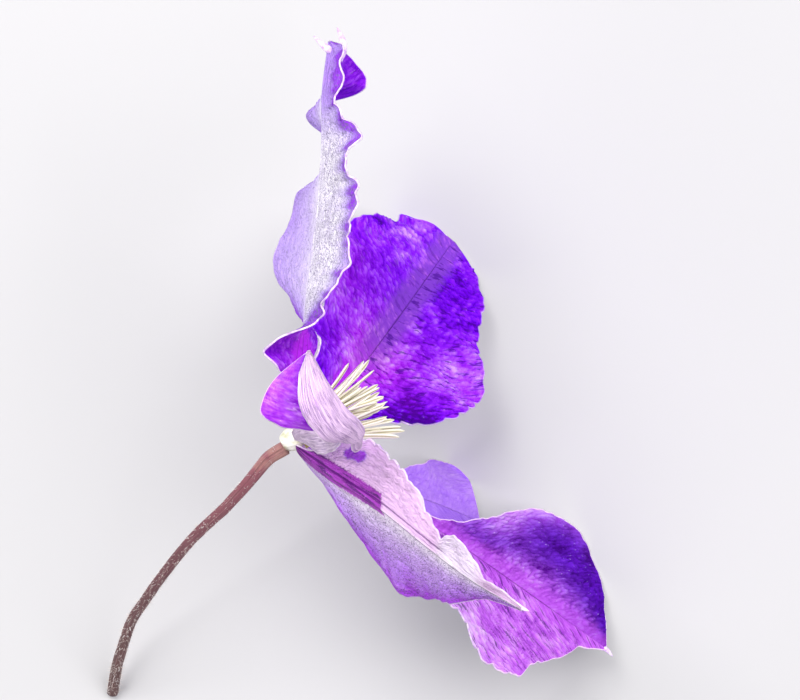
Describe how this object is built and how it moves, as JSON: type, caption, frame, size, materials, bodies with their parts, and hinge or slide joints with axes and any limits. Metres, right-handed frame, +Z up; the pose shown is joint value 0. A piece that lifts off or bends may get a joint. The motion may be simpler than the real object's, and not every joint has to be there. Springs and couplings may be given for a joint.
{
  "type": "clematis flower",
  "caption": "Large-flowered clematis bloom with wavy violet tepals round a brush of cream stamens on a thin curved cut stalk, lying on its side as a picked flower",
  "frame": {"origin": "bottom centre of the bounding box, on the ground the flower lies on", "axes": "+Z up from the ground; +Y along the upper tepal, the longest extent; +X the side the bloom faces, its axis turned 25 degrees from +X towards +Y"},
  "size_m": [0.08, 0.102, 0.0797],
  "materials": {
    "tepal_upper": "satin petal, pale lilac outside, violet inside",
    "tepal_far_upper": "satin petal, deep violet with a magenta midrib band",
    "tepal_lower": "satin petal, violet with lilac towards one margin",
    "tepal_far_lower": "satin petal, lavender",
    "tepal_near_lower": "satin petal, pale pink outside with a purple midrib bar, violet inside",
    "tepal_near_upper": "satin petal, purple inside, pale pink outside",
    "stalk": "matt, downy, dusky red-brown to olive-brown",
    "receptacle": "satin cream",
    "stamens": "satin cream, yellow-green at the foot",
    "pistil": "satin pale green-cream"
  },
  "bodies": {
    "root": {"tepal_upper": "tepal_upper", "tepal_far_upper": "tepal_far_upper", "tepal_lower": "tepal_lower", "tepal_far_lower": "tepal_far_lower", "tepal_near_lower": "tepal_near_lower", "tepal_near_upper": "tepal_near_upper", "stalk": "stalk", "receptacle": "receptacle", "stamens": "stamens", "pistil": "pistil"}
  },
  "joints": []
}
